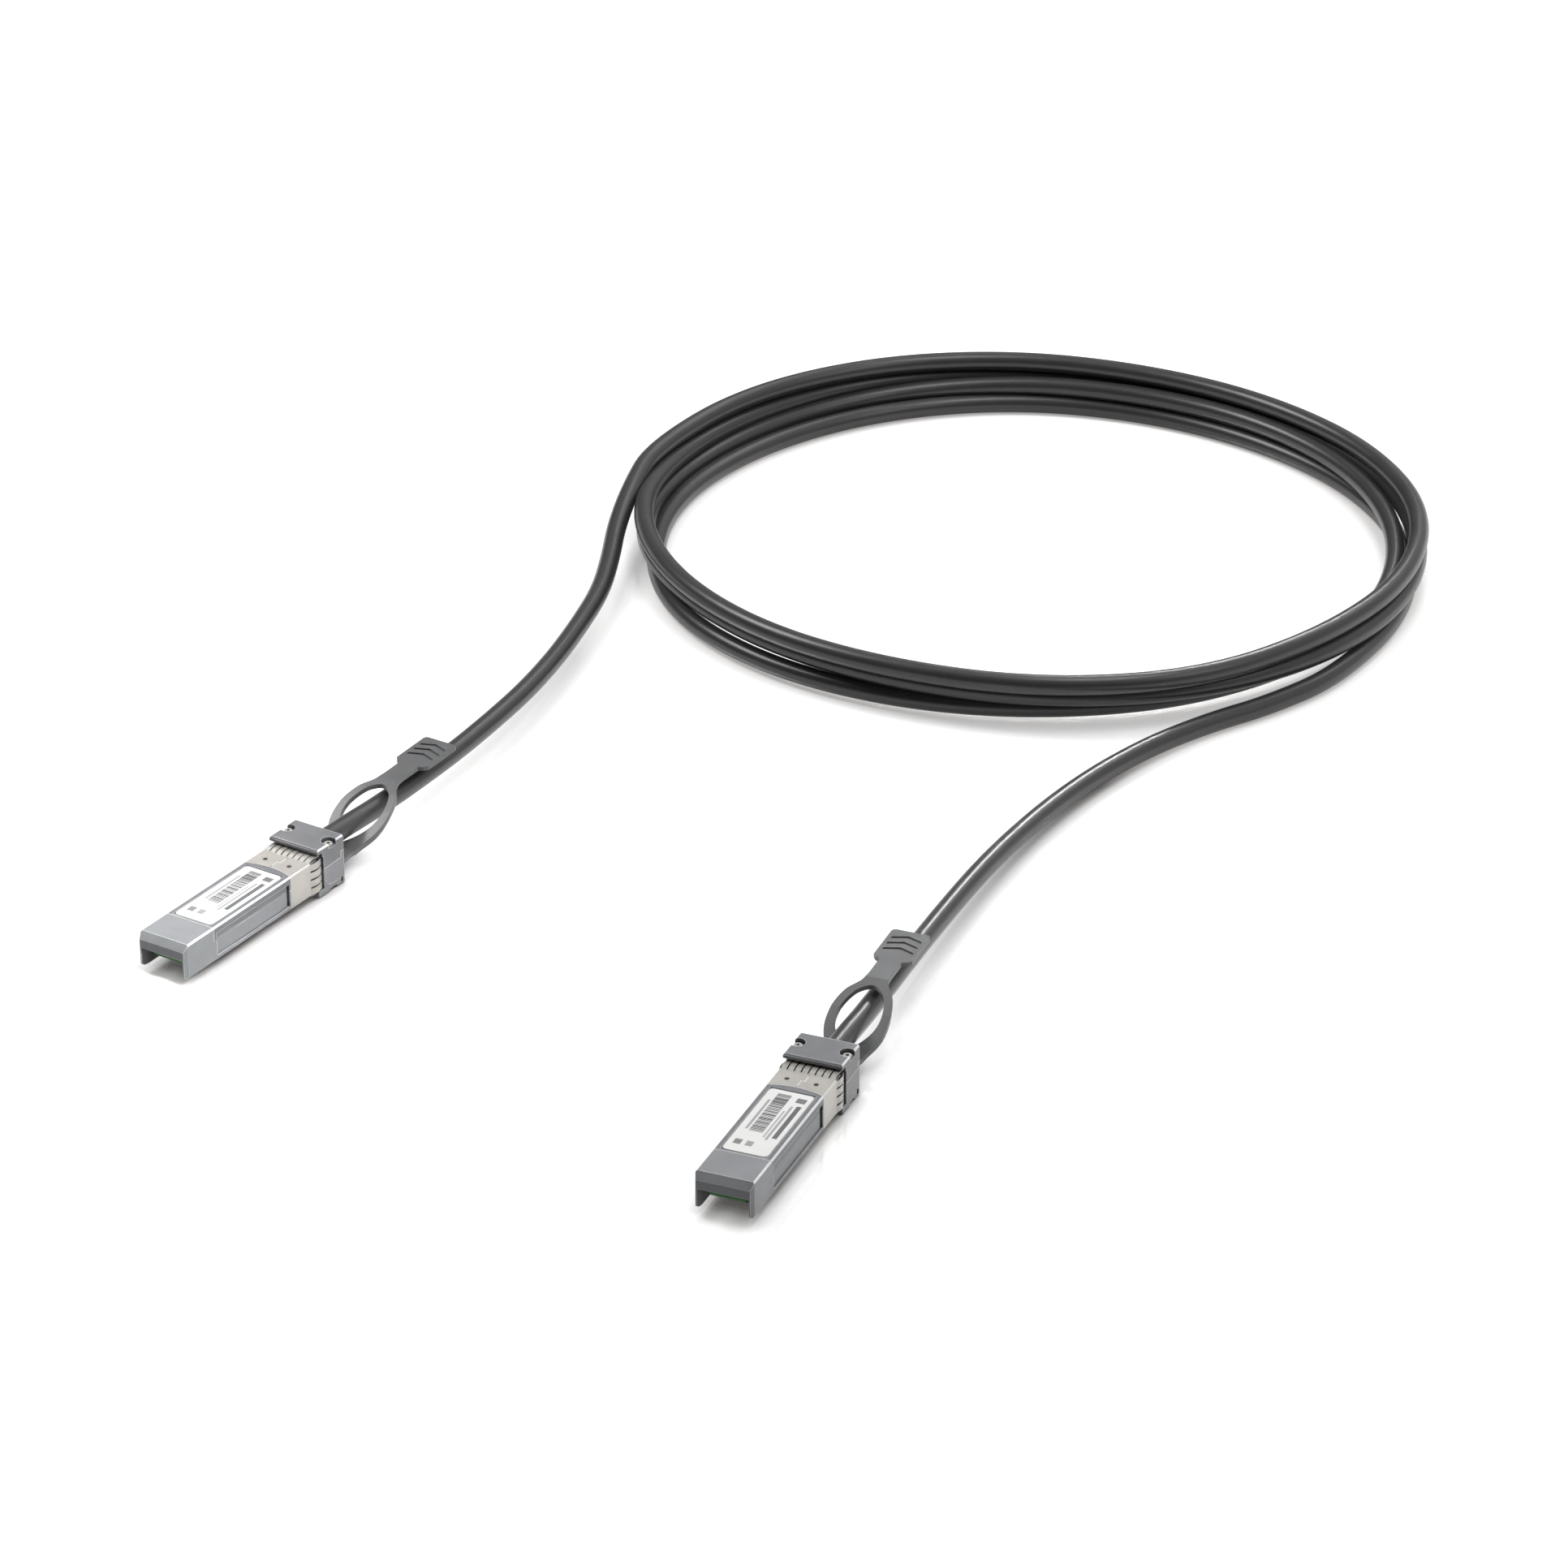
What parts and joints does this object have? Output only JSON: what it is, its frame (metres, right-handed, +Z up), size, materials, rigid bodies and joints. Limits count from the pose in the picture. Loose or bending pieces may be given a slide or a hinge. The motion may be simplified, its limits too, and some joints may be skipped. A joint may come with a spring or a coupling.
{
  "type": "direct attach copper cable",
  "caption": "Coiled twinaxial copper cable with a small form-factor pluggable plug on each end, each with a spring collar and a pull-tab latch release.",
  "frame": {"origin": "on the surface the cable lies on, on the near plug's centre line, 50 mm behind its nose under the front of the head", "axes": "+Y from the near plug's nose to its head and cable, +X to the plug's right seen from behind with +Z up"},
  "size_m": [0.2107, 0.4279, 0.0151],
  "materials": {
    "cast_metal": "satin nickel-plated casting",
    "spring_steel": "satin stamped spring sheet",
    "board": "solder-masked glass laminate",
    "gold_plate": "gold plated",
    "moulded_fill": "moulded hot-melt",
    "inner_insulation": "foil-wrapped pair",
    "plated_brass": "nickel-plated ferrule",
    "label_film": "matt white label film",
    "screw_steel": "bright plated steel",
    "pressed_steel": "pressed sheet",
    "tab_plastic": "fine moulded grey plastic",
    "cable_jacket": "satin charcoal PVC jacket"
  },
  "bodies": {
    "plugs_and_cable": {"near_housing": "cast_metal", "near_cover": "cast_metal", "near_collar": "spring_steel", "near_circuit_board": "board", "near_contacts": "gold_plate", "near_solder_block": "moulded_fill", "near_wire_pairs": "inner_insulation", "near_ferrule": "plated_brass", "near_label": "label_film", "near_screws": "screw_steel", "near_latch_pin": "screw_steel", "near_latch_spring": "spring_steel", "near_stop_pin": "screw_steel", "far_housing": "cast_metal", "far_cover": "cast_metal", "far_collar": "spring_steel", "far_circuit_board": "board", "far_contacts": "gold_plate", "far_solder_block": "moulded_fill", "far_wire_pairs": "inner_insulation", "far_ferrule": "plated_brass", "far_label": "label_film", "far_screws": "screw_steel", "far_latch_pin": "screw_steel", "far_latch_spring": "spring_steel", "far_stop_pin": "screw_steel", "near_lead": "cable_jacket", "coil": "cable_jacket", "far_lead": "cable_jacket"},
    "near_release": {"near_pull_tab": "tab_plastic", "near_slider": "pressed_steel"},
    "near_rocker": {"near_latch": "cast_metal"},
    "far_release": {"far_pull_tab": "tab_plastic", "far_slider": "pressed_steel"},
    "far_rocker": {"far_latch": "cast_metal"}
  },
  "joints": [
    {"name": "near_tab_slide", "type": "slide", "parent": "plugs_and_cable", "child": "near_release", "axis": [0, 1, 0], "range_m": [0, 0.0025], "stiffness_N_per_m": 300, "springref_m": -0.003},
    {"name": "near_latch_pivot", "type": "hinge", "parent": "plugs_and_cable", "child": "near_rocker", "pos_m": [0, -0.0065, 0.0027], "axis": [-1, 0, 0], "range_deg": [0, 8], "deforming": ["near_latch_spring"]},
    {"name": "far_tab_slide", "type": "slide", "parent": "plugs_and_cable", "child": "far_release", "axis": [0.1769, 0.9842, 0], "range_m": [0, 0.0025], "stiffness_N_per_m": 300, "springref_m": -0.003},
    {"name": "far_latch_pivot", "type": "hinge", "parent": "plugs_and_cable", "child": "far_rocker", "pos_m": [-0.1482, 0.03831, 0.0027], "axis": [-0.9842, 0.1769, 0], "range_deg": [0, 8], "deforming": ["far_latch_spring"]}
  ],
  "couplings": [
    {"joint": "near_latch_pivot", "follows": "near_tab_slide", "rad_per_m": 55.8},
    {"joint": "far_latch_pivot", "follows": "far_tab_slide", "rad_per_m": 55.8}
  ]
}
